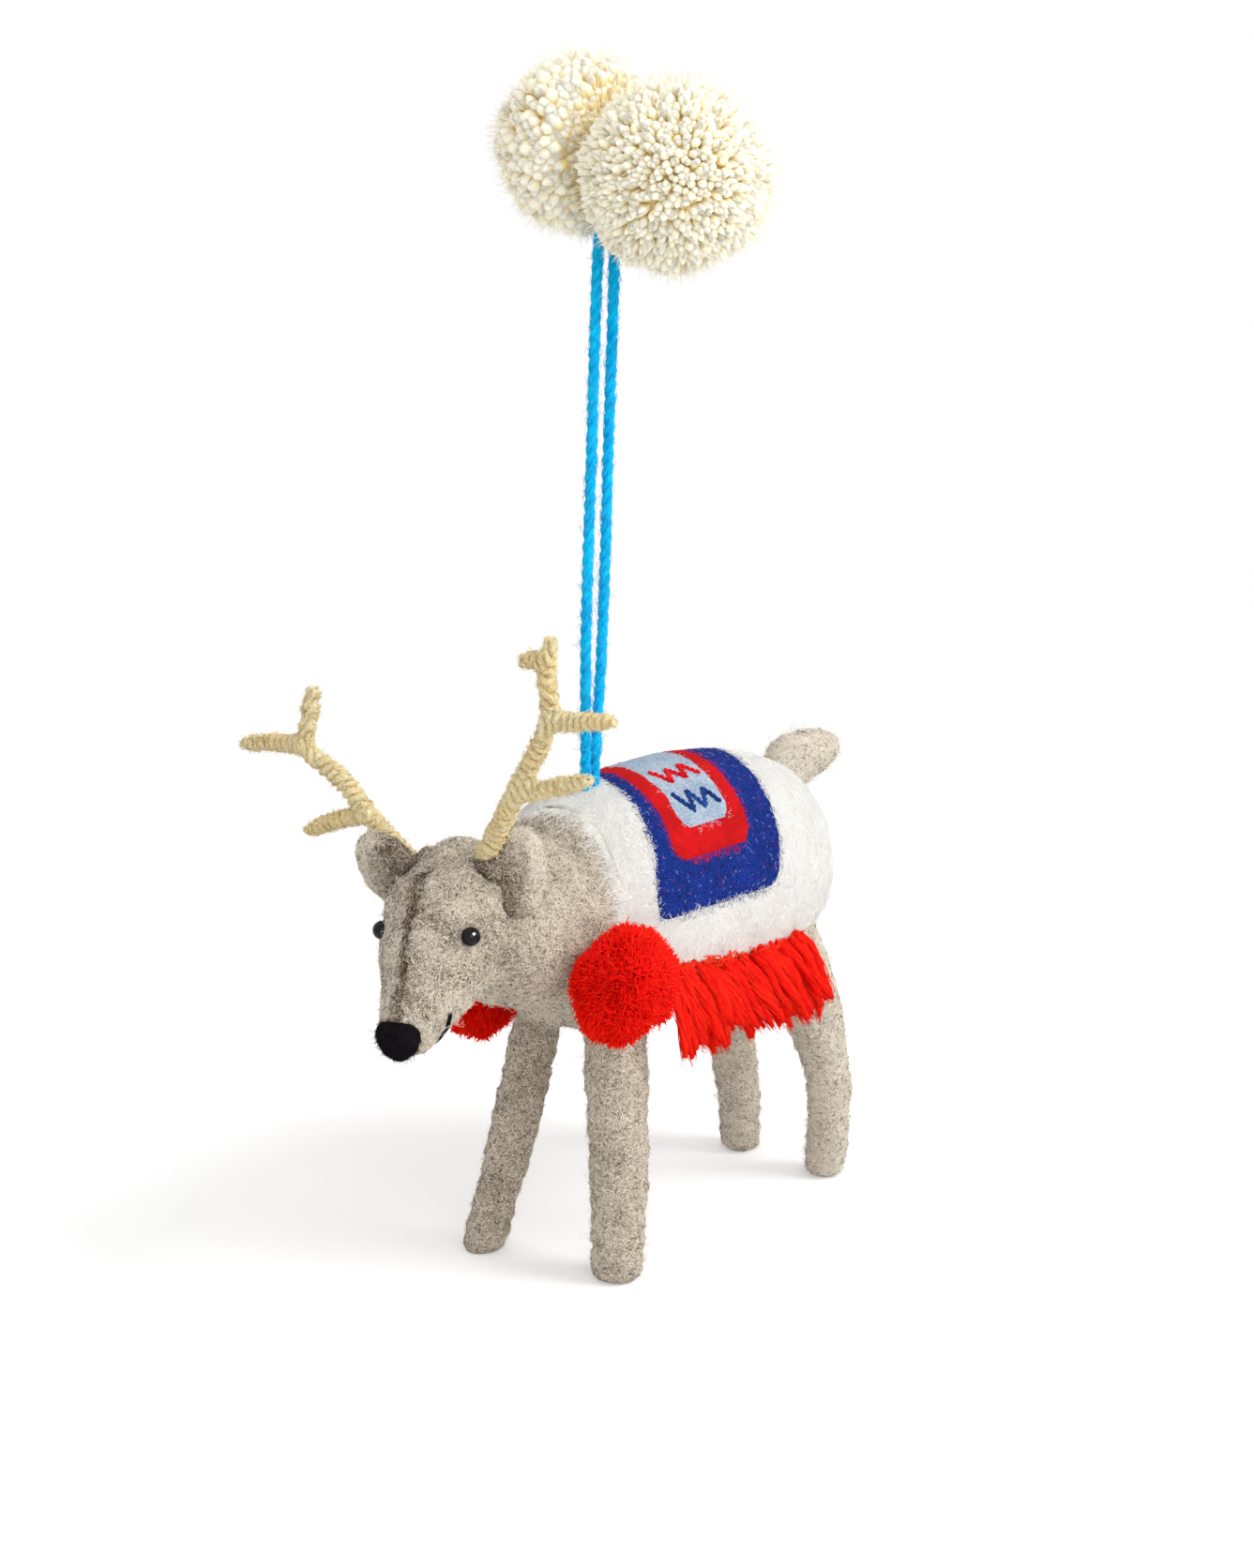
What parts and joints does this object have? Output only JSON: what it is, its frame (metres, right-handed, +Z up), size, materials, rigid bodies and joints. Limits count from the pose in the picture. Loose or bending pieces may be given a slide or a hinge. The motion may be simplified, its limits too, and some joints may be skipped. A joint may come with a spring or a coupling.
{
  "type": "felt reindeer ornament",
  "caption": "Needle-felted reindeer ornament with wire-cored legs and yarn-wrapped antlers, a fringed felt saddle blanket, and a yarn hanging loop tied with pompoms.",
  "frame": {"origin": "centre of the knot that closes the hanging loop, where the ornament is hung", "axes": "+Z up along the hanging loop, the reindeer faces -Y, its left side is +X"},
  "size_m": [0.0832, 0.1221, 0.2071],
  "materials": {
    "grey_felt": "needle-felted heathered wool with fine dark and cream fibres",
    "black_felt": "matte black wool",
    "bead": "glossy black bead",
    "antler_yarn": "mustard wool wound on wire",
    "white_felt": "soft off-white felt",
    "blue_felt": "royal blue felt with a few pale fibres",
    "red_felt": "bright red felt",
    "light_blue_felt": "pale blue felt",
    "navy_thread": "navy wool thread",
    "red_yarn": "orange-red cut yarn",
    "cord_yarn": "plied sky-blue yarn",
    "cream_yarn": "cream cut yarn",
    "steel_wire": "plain drawn wire, hidden in the wool"
  },
  "bodies": {
    "hanger": {"cord_top_knot": "cord_yarn"},
    "left_cream": {"left_cream_pompom": "cream_yarn", "left_cream_pompom_tie": "cord_yarn"},
    "right_cream": {"right_cream_pompom": "cream_yarn", "right_cream_pompom_tie": "cord_yarn"},
    "loop": {"cord_front_strand": "cord_yarn", "cord_rear_strand": "cord_yarn"},
    "base_knot": {"cord_base_knot": "cord_yarn"},
    "reindeer": {"torso": "grey_felt", "neck": "grey_felt", "neck_wire": "steel_wire", "head": "grey_felt", "nose": "black_felt", "mouth_stitch": "black_felt", "left_eye": "bead", "right_eye": "bead", "left_ear": "grey_felt", "right_ear": "grey_felt", "front_left_leg": "grey_felt", "front_left_leg_wire": "steel_wire", "front_right_leg": "grey_felt", "front_right_leg_wire": "steel_wire", "hind_left_leg": "grey_felt", "hind_left_leg_wire": "steel_wire", "hind_right_leg": "grey_felt", "hind_right_leg_wire": "steel_wire", "tail": "grey_felt", "left_antler_beam": "antler_yarn", "left_antler_wire": "steel_wire", "left_brow_tine": "antler_yarn", "left_fork_tine": "antler_yarn", "left_spur_tine": "antler_yarn", "right_antler_beam": "antler_yarn", "right_antler_wire": "steel_wire", "right_brow_tine": "antler_yarn", "right_fork_tine": "antler_yarn", "saddle_blanket": "white_felt", "blue_panel": "blue_felt", "red_panel": "red_felt", "light_blue_panel": "light_blue_felt", "left_red_zigzag": "red_felt", "left_navy_zigzag": "navy_thread", "right_red_zigzag": "red_felt", "right_navy_zigzag": "navy_thread", "left_fringe": "red_yarn", "right_fringe": "red_yarn"},
    "left_red": {"left_red_pompom": "red_yarn", "left_red_pompom_tie": "red_yarn"},
    "right_red": {"right_red_pompom": "red_yarn", "right_red_pompom_tie": "red_yarn"}
  },
  "joints": [
    {"name": "loop_swing", "type": "hinge", "parent": "hanger", "child": "loop", "pos_m": [0, 0, 0], "axis": [1, 0, 0], "range_deg": [-30, 30]},
    {"name": "reindeer_spin", "type": "hinge", "parent": "loop", "child": "base_knot", "pos_m": [0, -0.0021, -0.112], "axis": [0, 0, 1], "range_deg": [-180, 180]},
    {"name": "reindeer_sway", "type": "hinge", "parent": "base_knot", "child": "reindeer", "pos_m": [0, -0.0021, -0.112], "axis": [0, 1, 0], "range_deg": [-10, 10]},
    {"name": "left_cream_pompom_turn", "type": "hinge", "parent": "hanger", "child": "left_cream", "pos_m": [0.0146, 0, -0.0012], "axis": [1, 0, 0], "range_deg": [-90, 90]},
    {"name": "right_cream_pompom_turn", "type": "hinge", "parent": "hanger", "child": "right_cream", "pos_m": [-0.005, 0, 0.002], "axis": [1, 0, 0], "range_deg": [-90, 90]},
    {"name": "left_red_pompom_lift", "type": "hinge", "parent": "reindeer", "child": "left_red", "pos_m": [0.01705, -0.01454, -0.12483], "axis": [0, -1, 0], "range_deg": [0, 40]},
    {"name": "right_red_pompom_lift", "type": "hinge", "parent": "reindeer", "child": "right_red", "pos_m": [-0.02023, -0.00455, -0.13049], "axis": [0, 1, 0], "range_deg": [0, 40]}
  ]
}
